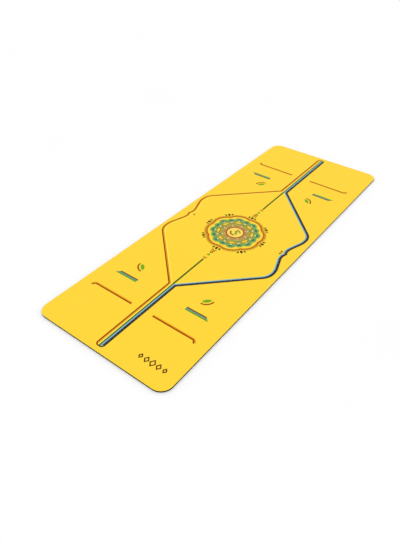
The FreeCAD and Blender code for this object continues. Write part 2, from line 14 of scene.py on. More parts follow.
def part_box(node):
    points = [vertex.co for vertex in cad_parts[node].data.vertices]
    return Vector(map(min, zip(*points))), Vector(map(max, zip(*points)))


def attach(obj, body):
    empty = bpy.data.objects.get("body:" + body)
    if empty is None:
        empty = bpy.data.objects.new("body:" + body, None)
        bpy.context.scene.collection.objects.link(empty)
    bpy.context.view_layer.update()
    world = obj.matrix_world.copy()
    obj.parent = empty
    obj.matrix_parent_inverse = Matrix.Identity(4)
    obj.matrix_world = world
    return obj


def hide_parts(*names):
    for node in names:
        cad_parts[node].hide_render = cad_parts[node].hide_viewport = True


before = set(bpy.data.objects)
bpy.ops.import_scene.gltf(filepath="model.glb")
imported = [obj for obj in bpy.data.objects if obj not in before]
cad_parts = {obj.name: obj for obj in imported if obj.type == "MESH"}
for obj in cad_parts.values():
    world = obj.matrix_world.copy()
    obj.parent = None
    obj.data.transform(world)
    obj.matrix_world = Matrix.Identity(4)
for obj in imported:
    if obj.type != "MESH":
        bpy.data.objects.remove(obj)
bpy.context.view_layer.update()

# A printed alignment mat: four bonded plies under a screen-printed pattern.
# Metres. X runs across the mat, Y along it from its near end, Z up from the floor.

LOG = logging.getLogger("mat")
MM = 0.001
BODY = "root"

# Flat spans in a leaf's or drop's side, in a bent bar, in half a dot and in a line's bend.
LEAF_SPANS = 12
BAR_SPANS = 20
DOT_SPANS = 10
BEND_SPANS = 24

# How much further a leaf's rim stands out at its tips than at its sides.
RIM_TIP = 1.5

# Points of a film that are closer than this share of its thickness become one.
WELD = 0.01

Point = tuple[float, float]
Value = float | int | bool | str | tuple | NodeSocket | ID


class Side(Enum):
    """The two long sides of the mat, as the sign of X."""

    LEFT = -1
    RIGHT = 1


class End(Enum):
    """The two ends of the mat, as the sign of Y."""

    NEAR = -1
    FAR = 1


class Ink(Enum):
    """The printing inks, by their dried colour."""

    RED = "#8A3400"
    ORANGE = "#E89610"
    YELLOW = "#FFE654"
    GREEN = "#285C14"
    SKY = "#7CB8BE"
    NAVY = "#182C54"
    VIOLET = "#24122C"
    BRICK = "#983C00"
    COPPER = "#BC6A0E"
    OCHRE = "#C8961C"
    PLUM = "#684630"
    GREY = "#6E9684"
    MEADOW = "#50A028"
    LEAF = "#74AA20"
    BROWN = "#8C5A08"
    SAGE = "#6EA558"
    SLATE = "#56645C"
    OLIVE = "#A8A046"
    MOSS = "#6E8A50"
    GOLD = "#F0CE3C"
    CREAM = "#FBE0A0"
    BUTTER = "#FADA64"
    ROSE = "#BA8650"
    APRICOT = "#E0A866"
    WINE = "#540C08"
    MAROON = "#5A2814"

    @property
    def slot(self) -> str:
        """The record's material slot. Two inks share the slot of a like colour."""
        return "ink_" + {"SAGE": "leaf_blue", "SLATE": "grey"}.get(self.name, self.name.lower())


# --- Colours and nodes -----------------------------------------------------------


def linear(code: str) -> tuple[float, float, float, float]:
    """Turn an sRGB hex colour to linear light.

    Args:
        code: The colour as "#RRGGBB".

    Returns:
        Linear red, green and blue, with an alpha of one.
    """
    channels = [int(code[i:i + 2], 16) / 255 for i in (1, 3, 5)]
    knee, slope, offset, power = 0.04045, 12.92, 0.055, 2.4
    light = [c / slope if c <= knee else ((c + offset) / (1 + offset)) ** power for c in channels]
    return (*light, 1.0)


def add_node(
    tree: NodeTree,
    kind: str,
    inputs: Mapping[str | int, Value] | None = None,
    **settings: Value,
) -> Node:
    """Add a node to a shader or geometry tree.

    Args:
        tree: The tree that takes the node.
        kind: The node's type name.
        inputs: A constant or another node's output, by the input's name or number.
        settings: The node's own properties.

    Returns:
        The new node.
    """
    node = tree.nodes.new(kind)
    for name, value in settings.items():
        setattr(node, name, value)
    for key, value in (inputs or {}).items():
        if isinstance(value, NodeSocket):
            tree.links.new(value, node.inputs[key])
        else:
            node.inputs[key].default_value = value
    return node


# --- Finishes --------------------------------------------------------------------


@dataclass(frozen=True)
class Finish:
    """A named material with a principled shader. Each finish says what feeds the shader."""

    name: str

    def surface(self, tree: NodeTree) -> dict[str, Value]:
        """Add the finish's own nodes.

        Args:
            tree: The material's tree.

        Returns:
            The principled shader's inputs.
        """
        raise NotImplementedError

    def build(self) -> Material:
        """Make the material.

        Returns:
            The material.
        """
        material = bpy.data.materials.new(self.name)
        material.use_nodes = True
        tree = material.node_tree
        tree.nodes.clear()
        shader = add_node(tree, "ShaderNodeBsdfPrincipled", self.surface(tree))
        add_node(tree, "ShaderNodeOutputMaterial", {"Surface": shader.outputs["BSDF"]})
        return material


def mottled(tree: NodeTree, colour: str, other: str, patch: float, amount: float) -> NodeSocket:
    """A colour that drifts a little towards another in soft patches.

    Args:
        tree: The material's tree.
        colour: The main sRGB colour.
        other: The sRGB colour that it drifts to.
        patch: The patches' size in metres.
        amount: The most of the other colour, from zero to one.

    Returns:
        The mixed colour.
    """
    place = add_node(tree, "ShaderNodeTexCoord").outputs["Object"]
    cloud = add_node(tree, "ShaderNodeTexNoise", {
        "Vector": place, "Scale": 1 / patch, "Detail": 4.0, "Roughness": 0.6})
    share = add_node(tree, "ShaderNodeMapRange", {
        "Value": cloud.outputs["Fac"], "From Min": 0.35, "From Max": 0.7, "To Max": amount})
    return add_node(
        tree, "ShaderNodeMix",
        {"Factor": share.outputs[0], "A": linear(colour), "B": linear(other)},
        data_type="RGBA").outputs["Result"]


@dataclass(frozen=True)
class Grained(Finish):
    """What the skin and its ink share: a fine leather-like grain.

    Real pebbles are about 1 mm apart and these are coarser, so that they show.
    """

    grain: float = 2.4 * MM
    dust: float = 0.5
    crease_roughness: float = 0.7
    pebble_roughness: float = 0.56
    bump: float = 0.25
    depth: float = 0.12 * MM

    def height(self, tree: NodeTree) -> NodeSocket:
        """Rounded pebbles between shallow creases, with a finer dust of noise on them.

        Args:
            tree: The material's tree.

        Returns:
            The grain's height, lowest in the creases.
        """
        place = add_node(tree, "ShaderNodeTexCoord").outputs["Object"]
        pebbles = add_node(
            tree, "ShaderNodeTexVoronoi",
            {"Vector": place, "Scale": 1 / self.grain, "Randomness": 0.9}, feature="SMOOTH_F1")
        noise = add_node(
            tree, "ShaderNodeTexNoise", {"Vector": place, "Scale": 3 / self.grain, "Detail": 2.0})
        rough = add_node(
            tree, "ShaderNodeMath", {0: noise.outputs["Fac"], 1: self.dust}, operation="MULTIPLY")
        return add_node(
            tree, "ShaderNodeMath", {0: rough.outputs[0], 1: pebbles.outputs["Distance"]},
            operation="SUBTRACT").outputs[0]

    def relief(self, tree: NodeTree, height: NodeSocket) -> dict[str, Value]:
        """What the grain does to the shader.

        Args:
            tree: The material's tree.
            height: The grain's height.

        Returns:
            The shader's roughness and normal.
        """
        worn = add_node(tree, "ShaderNodeMapRange", {
            "Value": height, "From Min": -0.6, "From Max": 0.5,
            "To Min": self.crease_roughness, "To Max": self.pebble_roughness})
        bump = add_node(tree, "ShaderNodeBump", {
            "Height": height, "Strength": self.bump, "Distance": self.depth})
        return {"Roughness": worn.outputs[0], "Normal": bump.outputs[0]}


@dataclass(frozen=True)
class PolyurethaneSkin(Grained):
    """Coagulated polyurethane on cloth: matte, slightly grippy, with a fine pebbled grain.

    It gives the eye one even, saturated colour with a soft, wide sheen and no sharp glint.
    """

    colour: str = "#FCD438"
    deep: str = "#F6CC30"
    drift: float = 90 * MM
    drift_share: float = 0.16

    def surface(self, tree: NodeTree) -> dict[str, Value]:
        """The skin's nodes. See Finish.surface for the arguments and what it returns."""
        tone = mottled(tree, self.colour, self.deep, self.drift, self.drift_share)
        return {"Base Color": tone, "IOR": 1.5, "Specular IOR Level": 0.1, "Sheen Weight": 0.02,
                **self.relief(tree, self.height(tree))}


@dataclass(frozen=True)
class ScreenInk(Grained):
    """Screen-printed polyurethane ink: an even satin film that the skin's grain shows through.

    It gives the eye a flat colour with pin-sized thin spots over the creases.
    """

    colour: str = "#000000"
    ground: str = "#F6CC30"
    thin: float = 0.12
    crease_roughness: float = 0.62
    pebble_roughness: float = 0.46
    bump: float = 0.16
    depth: float = 0.1 * MM

    def surface(self, tree: NodeTree) -> dict[str, Value]:
        """The ink's nodes. See Finish.surface for the arguments and what it returns."""
        height = self.height(tree)
        crease = add_node(tree, "ShaderNodeMapRange", {
            "Value": height, "From Min": -0.75, "From Max": -0.35,
            "To Min": self.thin, "To Max": 0.0})
        tone = add_node(
            tree, "ShaderNodeMix",
            {"Factor": crease.outputs[0], "A": linear(self.colour), "B": linear(self.ground)},
            data_type="RGBA").outputs["Result"]
        return {"Base Color": tone, "IOR": 1.5, "Specular IOR Level": 0.06,
                **self.relief(tree, height)}


@cache
def ink_material(ink: Ink) -> Material:
    """The material of an ink, made once."""
    return ScreenInk("screen_ink_" + ink.name.lower(), colour=ink.value).build()


@dataclass(frozen=True)
class FoamRubber(Finish):
    """Foamed natural rubber, moulded below and die-cut at the sides.

    It gives the eye a dull green-black surface that is pitted by small open cells.
    """

    colour: str = "#0E1714"
    dust: str = "#1C2823"
    cell: float = 0.9 * MM
    drift: float = 30 * MM
    drift_share: float = 0.7

    def surface(self, tree: NodeTree) -> dict[str, Value]:
        """The foam's nodes. See Finish.surface for the arguments and what it returns."""
        place = add_node(tree, "ShaderNodeTexCoord").outputs["Object"]
        cells = add_node(
            tree, "ShaderNodeTexVoronoi", {"Vector": place, "Scale": 1 / self.cell}, feature="F1")
        pits = add_node(tree, "ShaderNodeMapRange", {
            "Value": cells.outputs["Distance"], "From Min": 0.15, "From Max": 0.45})
        bump = add_node(tree, "ShaderNodeBump", {
            "Height": pits.outputs[0], "Strength": 0.5, "Distance": 0.3 * MM})
        tone = mottled(tree, self.colour, self.dust, self.drift, self.drift_share)
        return {"Base Color": tone, "Normal": bump.outputs[0], "IOR": 1.52, "Roughness": 0.9,
                "Specular IOR Level": 0.15}


@dataclass(frozen=True)
class NonWoven(Finish):
    """Needled polyester felt, dyed dark: short crossed fibres that catch light at their sides."""

    colour: str = "#222A26"
    fibre: str = "#3A443E"
    pitch: float = 0.5 * MM
    draw: float = 0.15

    def surface(self, tree: NodeTree) -> dict[str, Value]:
        """The felt's nodes. See Finish.surface for the arguments and what it returns."""
        place = add_node(tree, "ShaderNodeTexCoord").outputs["Object"]
        drawn = add_node(
            tree, "ShaderNodeMapping", {"Vector": place, "Scale": (self.draw, 1.0, 1.0)})
        strands = add_node(tree, "ShaderNodeTexNoise", {
            "Vector": drawn.outputs[0], "Scale": 1 / self.pitch, "Detail": 3.0}).outputs["Fac"]
        tone = add_node(
            tree, "ShaderNodeMix",
            {"Factor": strands, "A": linear(self.colour), "B": linear(self.fibre)},
            data_type="RGBA")
        bump = add_node(
            tree, "ShaderNodeBump", {"Height": strands, "Strength": 0.6, "Distance": 0.1 * MM})
        return {"Base Color": tone.outputs["Result"], "Normal": bump.outputs[0],
                "Roughness": 0.95, "Specular IOR Level": 0.1, "Sheen Weight": 0.08}


@dataclass(frozen=True)
class HotMelt(Finish):
    """Hot-melt adhesive film: a thin waxy line between the foam and the cloth."""

    colour: str = "#3A3A30"
    drop: str = "#56543F"
    drop_size: float = 8 * MM
    drop_share: float = 0.6

    def surface(self, tree: NodeTree) -> dict[str, Value]:
        """The film's nodes. See Finish.surface for the arguments and what it returns."""
        tone = mottled(tree, self.colour, self.drop, self.drop_size, self.drop_share)
        return {"Base Color": tone, "IOR": 1.49, "Roughness": 0.4}


@dataclass(frozen=True)
class StudioPaper(Finish):
    """Seamless background paper: matte and almost white."""

    colour: str = "#FBFBFB"
    shade: str = "#F8F8F8"
    drift: float = 600 * MM
    drift_share: float = 0.5

    def surface(self, tree: NodeTree) -> dict[str, Value]:
        """The paper's nodes. See Finish.surface for the arguments and what it returns."""
        tone = mottled(tree, self.colour, self.shade, self.drift, self.drift_share)
        return {"Base Color": tone, "Roughness": 0.95, "Specular IOR Level": 0.1}


# --- Flat outlines ---------------------------------------------------------------


def polar(radius: float, angle: float) -> Point:
    """A point at a radius and an angle in radians."""
    return (radius * math.cos(angle), radius * math.sin(angle))


@dataclass(frozen=True)
class Patch:
    """A flat patch of ink between two edges that have the same number of points."""

    left: list[Point]
    right: list[Point]
    closed: bool = False

    def mapped(self, change: Callable[[float, float], Point]) -> "Patch":
        """Change every point of both edges."""
        left, right = ([change(x, y) for x, y in edge] for edge in (self.left, self.right))
        return Patch(left, right, self.closed)

    def moved(self, x: float = 0.0, y: float = 0.0, turn: float = 0.0) -> "Patch":
        """Turn the patch about the origin, by an angle in radians, and then move it."""
        c, s = math.cos(turn), math.sin(turn)
        return self.mapped(lambda px, py: (x + px * c - py * s, y + px * s + py * c))

    def mirrored(self, across: int, along: int) -> "Patch":
        """Multiply X and Y by signs."""
        return self.mapped(lambda x, y: (across * x, along * y))

    def four_ways(self) -> list["Patch"]:
        """The patch at both sides and both ends of the mat."""
        return [self.mirrored(side.value, end.value) for side in Side for end in End]


def lens(length: float, width: float) -> Patch:
    """A leaf between two equal arcs, with its long axis along X.

    Args:
        length: From tip to tip.
        width: Across the middle.

    Returns:
        The leaf, with its middle at the origin.
    """
    radius = (length ** 2 + width ** 2) / (4 * width)
    rise = radius - width / 2
    xs = [length * (i / LEAF_SPANS - 0.5) for i in range(LEAF_SPANS + 1)]
    half = [max(math.sqrt(radius ** 2 - x ** 2) - rise, 0.0) for x in xs]
    return Patch(list(zip(xs, half)), [(x, -h) for x, h in zip(xs, half)])


def lens_rim(length: float, width: float, rim: float, gap: float) -> Patch:
    """A closed rim round a leaf, widest at the leaf's tips.

    Args:
        length: The leaf's length.
        width: The leaf's width.
        rim: How far the rim reaches beyond the leaf at each side.
        gap: The bare gap between the leaf and its rim.

    Returns:
        The rim.
    """
    leaves = [lens(length + 2 * RIM_TIP * grow, width + 2 * grow) for grow in (rim, gap)]
    loops = [leaf.left + leaf.right[-2:0:-1] for leaf in leaves]
    return Patch(loops[0], loops[1], closed=True)


def dot(radius: float, spans: int = DOT_SPANS) -> Patch:
    """A disc with its middle at the origin, with so many flat spans in each half."""
    upper = [polar(radius, math.pi * (1 - i / spans)) for i in range(spans + 1)]
    return Patch(upper, [(x, -y) for x, y in upper])


def drop(length: float, width: float) -> Patch:
    """A drop with its round end at the origin and its tip along X.

    Args:
        length: From the round end to the tip.
        width: Across the round end.

    Returns:
        The drop.
    """
    radius = width / 2
    spread = math.acos(radius / (length - radius))
    angles = [math.pi + (spread - math.pi) * i / LEAF_SPANS for i in range(LEAF_SPANS + 1)]
    round_end = [(radius + radius * math.cos(a), radius * math.sin(a)) for a in angles]
    upper = round_end + [(length, 0.0)]
    return Patch(upper, [(x, -y) for x, y in upper])


def bent_bar(radius: float, width: float, start: float, end: float) -> Patch:
    """A bar of even width bent round the origin.

    Args:
        radius: To the bar's middle.
        width: The bar's width.
        start: The angle of one end in radians.
        end: The angle of the other end.

    Returns:
        The bar.
    """
    angles = [start + (end - start) * i / BAR_SPANS for i in range(BAR_SPANS + 1)]
    return Patch([polar(radius + width / 2, a) for a in angles],
                 [polar(radius - width / 2, a) for a in angles])


@dataclass(frozen=True)
class Scallop:
    """A round edge of equal arcs that bulge outwards between notches."""

    count: int = 8
    notch: float = 0.0
    peak: float = 0.0

    @property
    def arc_centre(self) -> float:
        """How far each arc's centre is from the middle.

        Returns:
            The distance, or zero for a plain circle.
        """
        if self.peak == self.notch:
            return 0.0
        half = math.pi / self.count
        return (self.peak ** 2 - self.notch ** 2) / (2 * (self.peak - self.notch * math.cos(half)))

    @property
    def arc_radius(self) -> float:
        """The radius of each arc."""
        return self.peak - self.arc_centre

    def reach(self, angle: float) -> float:
        """Follow the edge, which has a notch at an angle of zero.

        Args:
            angle: The direction from the middle, in radians.

        Returns:
            The distance to the edge.
        """
        step = 2 * math.pi / self.count
        away = angle % step - step / 2
        across = self.arc_centre * math.sin(away)
        return self.arc_centre * math.cos(away) + math.sqrt(self.arc_radius ** 2 - across ** 2)


@dataclass(frozen=True)
class Flower:
    """A round edge of large petals at half steps and smaller ones between them."""

    count: int
    root: float
    large_radius: float
    large_peak: float
    small_radius: float
    small_peak: float

    def reach(self, angle: float) -> float:
        """Follow the edge, which has a small petal at an angle of zero.

        Args:
            angle: The direction from the middle, in radians.

        Returns:
            The distance to the edge.
        """
        step = 2 * math.pi / self.count
        furthest = self.root
        for radius, peak, phase in ((self.large_radius, self.large_peak, step / 2),
                                    (self.small_radius, self.small_peak, 0.0)):
            away = (angle - phase + step / 2) % step - step / 2
            across = (peak - radius) * math.sin(away)
            if abs(across) < radius:
                along = (peak - radius) * math.cos(away)
                furthest = max(furthest, along + math.sqrt(radius ** 2 - across ** 2))
        return furthest


def ring(outer: Scallop | Flower, inner: Scallop | Flower, steps: int) -> Patch:
    """The ring between two round edges.

    Args:
        outer: The outer edge.
        inner: The inner edge.
        steps: How many spans the whole ring has.

    Returns:
        The closed ring.
    """
    angles = [2 * math.pi * i / steps for i in range(steps)]
    return Patch([polar(outer.reach(a), a) for a in angles],
                 [polar(inner.reach(a), a) for a in angles], closed=True)


def circle(radius: float) -> Scallop:
    """A plain circle, as an edge with no scallops."""
    return Scallop(notch=radius, peak=radius)


@dataclass(frozen=True)
class Corner:
    """A bend in a line, with the radius of its fillet."""

    x: float
    y: float
    radius: float = 0.0


@dataclass(frozen=True)
class Track:
    """The course of a line through its bends."""

    corners: list[Corner]

    def _directions(self, i: int) -> tuple[Vector, Vector]:
        """Find the directions into and out of a corner.

        Args:
            i: The corner's number.

        Returns:
            Both directions, which are the same at an end of the track.
        """
        last = len(self.corners) - 1
        spans = ((max(i - 1, 0), max(i, 1)), (min(i, last - 1), min(i + 1, last)))
        ways = []
        for a, b in spans:
            start, end = self.corners[a], self.corners[b]
            ways.append(Vector((end.x - start.x, end.y - start.y)).normalized())
        return ways[0], ways[1]

    def edge(self, shift: float) -> list[Point]:
        """Points along the track moved sideways, to its left for a positive shift.

        Args:
            shift: How far to move the track.

        Returns:
            The points. Every shift of one track has the same number of them.
        """
        points: list[Point] = []
        for i, corner in enumerate(self.corners):
            into, out = self._directions(i)
            turn = math.atan2(into.cross(out), into.dot(out))
            side = Vector((-into.y, into.x))
            place = Vector((corner.x, corner.y))
            if corner.radius == 0:
                bisector = Matrix.Rotation(turn / 2, 2) @ side
                end = place + bisector * (shift / math.cos(turn / 2))
                points.append((end.x, end.y))
                continue
            sense = math.copysign(1, turn)
            start = place - into * corner.radius * math.tan(abs(turn) / 2)
            centre = start + side * sense * corner.radius
            radius = max(corner.radius - sense * shift, 0)
            for step in range(BEND_SPANS + 1):
                swing = Matrix.Rotation(turn * step / BEND_SPANS, 2)
                spoke = swing @ (side * -sense * radius)
                points.append((centre.x + spoke.x, centre.y + spoke.y))
        return points

    def band(self, shift: float, width: float) -> Patch:
        """A line of even width beside the track."""
        return Patch(self.edge(shift + width / 2), self.edge(shift - width / 2))


# --- Meshes ----------------------------------------------------------------------


def film_mesh(name: str, patches: Iterable[Patch], bottom: float, thickness: float) -> Mesh:
    """Make closed thin solids from flat patches.

    Args:
        name: The mesh's name.
        patches: The patches, apart from each other.
        bottom: The height of their undersides.
        thickness: The thickness of the film.

    Returns:
        The mesh.
    """
    build = bmesh.new()
    for patch in patches:
        low_l, low_r, high_l, high_r = (
            [build.verts.new((x, y, z)) for x, y in edge]
            for z in (bottom, bottom + thickness)
            for edge in (patch.left, patch.right)
        )
        count = len(patch.left)
        for i in range(count if patch.closed else count - 1):
            j = (i + 1) % count
            build.faces.new((high_l[i], high_r[i], high_r[j], high_l[j]))
            build.faces.new((low_l[i], low_l[j], low_r[j], low_r[i]))
            build.faces.new((low_l[i], high_l[i], high_l[j], low_l[j]))
            build.faces.new((low_r[i], low_r[j], high_r[j], high_r[i]))
        if not patch.closed:
            build.faces.new((low_l[0], low_r[0], high_r[0], high_l[0]))
            build.faces.new((low_l[-1], high_l[-1], high_r[-1], low_r[-1]))
    bmesh.ops.remove_doubles(build, verts=build.verts, dist=thickness * WELD)
    bmesh.ops.recalc_face_normals(build, faces=build.faces)
    mesh = bpy.data.meshes.new(name)
    build.to_mesh(mesh)
    build.free()
    return mesh


def new_object(name: str, mesh: Mesh, material: Material) -> Object:
    """Put a mesh in the scene with one material.

    Args:
        name: The object's name.
        mesh: Its mesh.
        material: Its material.

    Returns:
        The object.
    """
    mesh.materials.clear()
    mesh.materials.append(material)
    piece = bpy.data.objects.new(name, mesh)
    bpy.context.scene.collection.objects.link(piece)
    return piece


def enrol(piece: Object, node: str) -> None:
    """Ride a finished piece on the mat's one body and report it.

    Args:
        piece: The piece.
        node: The CAD node that it stands for.
    """
    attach(piece, BODY)
    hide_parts(node)
    LOG.info("%s: %d faces, for %s", piece.name, len(piece.data.polygons), node)


# --- Geometry Nodes --------------------------------------------------------------


class GeometryTree:
    """A geometry tree with named inputs that ends in real geometry of one material."""

    def __init__(self, name: str, inputs: Mapping[str, str]) -> None:
        """Make the tree's sockets.

        Args:
            name: The tree's name.
            inputs: The socket type of each input, by name.
        """
        self.tree = bpy.data.node_groups.new(name, "GeometryNodeTree")
        face = self.tree.interface
        face.new_socket("Geometry", in_out="INPUT", socket_type="NodeSocketGeometry")
        for label, kind in inputs.items():
            face.new_socket(label, in_out="INPUT", socket_type=kind)
        face.new_socket("Finish", in_out="INPUT", socket_type="NodeSocketMaterial")
        face.new_socket("Geometry", in_out="OUTPUT", socket_type="NodeSocketGeometry")
        self.given = self.add("NodeGroupInput").outputs

    def add(self, kind: str, inputs: Mapping[str | int, Value] | None = None,
            **settings: Value) -> Node:
        """Add a node to the tree."""
        return add_node(self.tree, kind, inputs, **settings)

    def end_with(self, geometry: NodeSocket) -> None:
        """Close the tree: instances made real, and the finish set.

        Args:
            geometry: The geometry to end with.
        """
        real = self.add("GeometryNodeRealizeInstances", {"Geometry": geometry})
        dressed = self.add(
            "GeometryNodeSetMaterial",
            {"Geometry": real.outputs[0], "Material": self.given["Finish"]})
        self.add("NodeGroupOutput", {0: dressed.outputs[0]})

    def apply(self, piece: Object, finish: Material, **values: Value) -> None:
        """Run the tree on an object and keep the result as its plain mesh.

        Args:
            piece: The object whose mesh goes in.
            finish: The material that the result gets.
            values: The other inputs, with _ for a space.
        """
        modifier = piece.modifiers.new(self.tree.name, "NODES")
        modifier.node_group = self.tree
        given = {name.replace("_", " "): value for name, value in values.items()}
        given["Finish"] = finish
        for item in self.tree.interface.items_tree:
            if item.in_out == "INPUT" and item.name in given:
                modifier[item.identifier] = given[item.name]
        depsgraph = bpy.context.evaluated_depsgraph_get()
        evaluated = piece.evaluated_get(depsgraph)
        mesh = bpy.data.meshes.new_from_object(evaluated, depsgraph=depsgraph)
        piece.modifiers.remove(modifier)
        spent, piece.data = piece.data, mesh
        mesh.name = piece.name
        bpy.data.meshes.remove(spent)


def round_array_tree() -> GeometryTree:
    """A tree that turns copies of a motif round a centre, each on the edge under it.

    The edge is a row of arcs. With an arc radius and centre of zero the motif only turns.

    Returns:
        The tree.
    """
    array = GeometryTree("round_array", {
        "Count": "NodeSocketInt", "Phase": "NodeSocketFloat", "Centre": "NodeSocketVector",
        "Lobes": "NodeSocketInt", "Arc Radius": "NodeSocketFloat", "Arc Centre": "NodeSocketFloat",
    })
    known = {socket.name: socket for socket in array.given}
    known["number"] = array.add("GeometryNodeInputIndex").outputs[0]
    sums = (
        ("step", "DIVIDE", 2 * math.pi, "Count"),
        ("angle", "MULTIPLY_ADD", "number", "step", "Phase"),
        ("lobe", "DIVIDE", 2 * math.pi, "Lobes"),
        ("passed", "MODULO", "angle", "lobe"),
        ("away", "MULTIPLY_ADD", "lobe", -0.5, "passed"),
        ("sine", "SINE", "away"),
        ("cosine", "COSINE", "away"),
        ("across", "MULTIPLY", "Arc Centre", "sine"),
        ("against", "MULTIPLY", "across", -1.0),
        ("whole", "MULTIPLY", "Arc Radius", "Arc Radius"),
        ("rest", "MULTIPLY_ADD", "across", "against", "whole"),
        ("depth", "SQRT", "rest"),
        ("reach", "MULTIPLY_ADD", "Arc Centre", "cosine", "depth"),
    )
    for name, operation, *terms in sums:
        inputs = {i: known.get(term, term) for i, term in enumerate(terms)}
        known[name] = array.add("ShaderNodeMath", inputs, operation=operation).outputs[0]
    spoke = array.add("ShaderNodeCombineXYZ", {"X": known["reach"]})
    turned = array.add(
        "ShaderNodeVectorRotate", {"Vector": spoke.outputs[0], "Angle": known["angle"]},
        rotation_type="Z_AXIS")
    placed = array.add(
        "ShaderNodeVectorMath", {0: turned.outputs[0], 1: known["Centre"]}, operation="ADD")
    points = array.add(
        "GeometryNodePoints", {"Count": known["Count"], "Position": placed.outputs[0]})
    facing = array.add("ShaderNodeCombineXYZ", {"Z": known["angle"]})
    copies = array.add("GeometryNodeInstanceOnPoints", {
        "Points": points.outputs[0], "Instance": known["Geometry"], "Rotation": facing.outputs[0]})
    array.end_with(copies.outputs[0])
    return array


def rib_tree() -> GeometryTree:
    """A tree that joins a row of soft-edged ribs to a slab, as one closed solid.

    Returns:
        The tree.
    """
    ribs = GeometryTree("grip_ribs", {
        "Rib Count": "NodeSocketInt", "First Rib": "NodeSocketVector",
        "Rib Pitch": "NodeSocketVector", "Rib Start": "NodeSocketVector",
        "Rib End": "NodeSocketVector", "Rib Width": "NodeSocketFloat",
        "Rib Height": "NodeSocketFloat", "Edge Radius": "NodeSocketFloat",
    })
    given = ribs.given
    spine = ribs.add(
        "GeometryNodeCurvePrimitiveLine", {"Start": given["Rib Start"], "End": given["Rib End"]})
    section = ribs.add(
        "GeometryNodeCurvePrimitiveQuadrilateral",
        {"Width": given["Rib Width"], "Height": given["Rib Height"]})
    softened = ribs.add(
        "GeometryNodeFilletCurve",
        {"Curve": section.outputs[0], "Radius": given["Edge Radius"], "Count": 2}, mode="POLY")
    rib = ribs.add("GeometryNodeCurveToMesh", {
        "Curve": spine.outputs[0], "Profile Curve": softened.outputs[0], "Fill Caps": True})
    row = ribs.add("GeometryNodeMeshLine", {
        "Count": given["Rib Count"], "Start Location": given["First Rib"],
        "Offset": given["Rib Pitch"]})
    copies = ribs.add(
        "GeometryNodeInstanceOnPoints", {"Points": row.outputs[0], "Instance": rib.outputs[0]})
    real = ribs.add("GeometryNodeRealizeInstances", {"Geometry": copies.outputs[0]})
    union = ribs.add(
        "GeometryNodeMeshBoolean", {"Mesh": given["Geometry"]}, operation="UNION", solver="EXACT")
    ribs.tree.links.new(real.outputs[0], union.inputs[1])
    ribs.end_with(union.outputs[0])
    return ribs


# --- Plies -----------------------------------------------------------------------


@dataclass
class Ply:
    """One die-cut layer of the mat, at the height that its CAD node has."""

    node: str
    corner_radius: float = 50 * MM
    corner_steps: int = 24
    lift: float = 0.0
    rim_radius: float = 0.0
    waist: float = 0.0
    rings: int = 6

    def box(self) -> tuple[Vector, Vector]:
        """The CAD node's lowest and highest corners."""
        low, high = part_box(self.node)
        return Vector(low), Vector(high)

    def outline(self, inset: float) -> list[Point]:
        """Follow the plan outline, moved inwards.

        Args:
            inset: How far to move it.

        Returns:
            Its points, anticlockwise from the right-hand side.
        """
        low, high = self.box()
        points = []
        for quarter, (sx, sy) in enumerate(((1, 1), (-1, 1), (-1, -1), (1, -1))):
            cx = sx * ((high.x - low.x) / 2 - self.corner_radius)
            cy = sy * ((high.y - low.y) / 2 - self.corner_radius)
            for step in range(self.corner_steps + 1):
                angle = math.pi / 2 * (quarter + step / self.corner_steps)
                x, y = polar(self.corner_radius - inset, angle)
                points.append((cx + x, cy + y))
        return points

    def profile(self) -> list[tuple[float, float]]:
        """Follow the cut side from the bottom edge to the top edge.

        Returns:
            Pairs of inset and height.
        """
        low, high = self.box()
        base = low.z + self.lift
        rise = high.z - base
        shares = [i / self.rings for i in range(self.rings + 1)]
        rows = [(self.waist * math.sin(math.pi * share), base + rise * share) for share in shares]
        if self.rim_radius:
            rows = rows[:1]
            for share in shares:
                angle = math.pi / 2 * share
                rows.append((self.rim_radius * (1 - math.cos(angle)),
                             high.z - self.rim_radius * (1 - math.sin(angle))))
        return rows

    def build(self, name: str, finish: Material) -> Object:
        """Loft the side through its profile and close the top and bottom.

        Args:
            name: The piece's name.
            finish: Its material.

        Returns:
            The piece.
        """
        build = bmesh.new()
        loops = [[build.verts.new((x, y, z)) for x, y in self.outline(inset)]
                 for inset, z in self.profile()]
        for low, high in zip(loops, loops[1:]):
            for i, vertex in enumerate(low):
                j = (i + 1) % len(low)
                build.faces.new((vertex, low[j], high[j], high[i]))
        build.faces.new(loops[-1])
        build.faces.new(loops[0][::-1])
        mesh = bpy.data.meshes.new(name)
        build.to_mesh(mesh)
        build.free()
        return new_object(name, mesh, finish)

    def flat_area(self) -> float:
        """The area of the cut shape: its box, less what the round corners leave out."""
        size = self.box()[1] - self.box()[0]
        return size.x * size.y - (4 - math.pi) * self.corner_radius ** 2


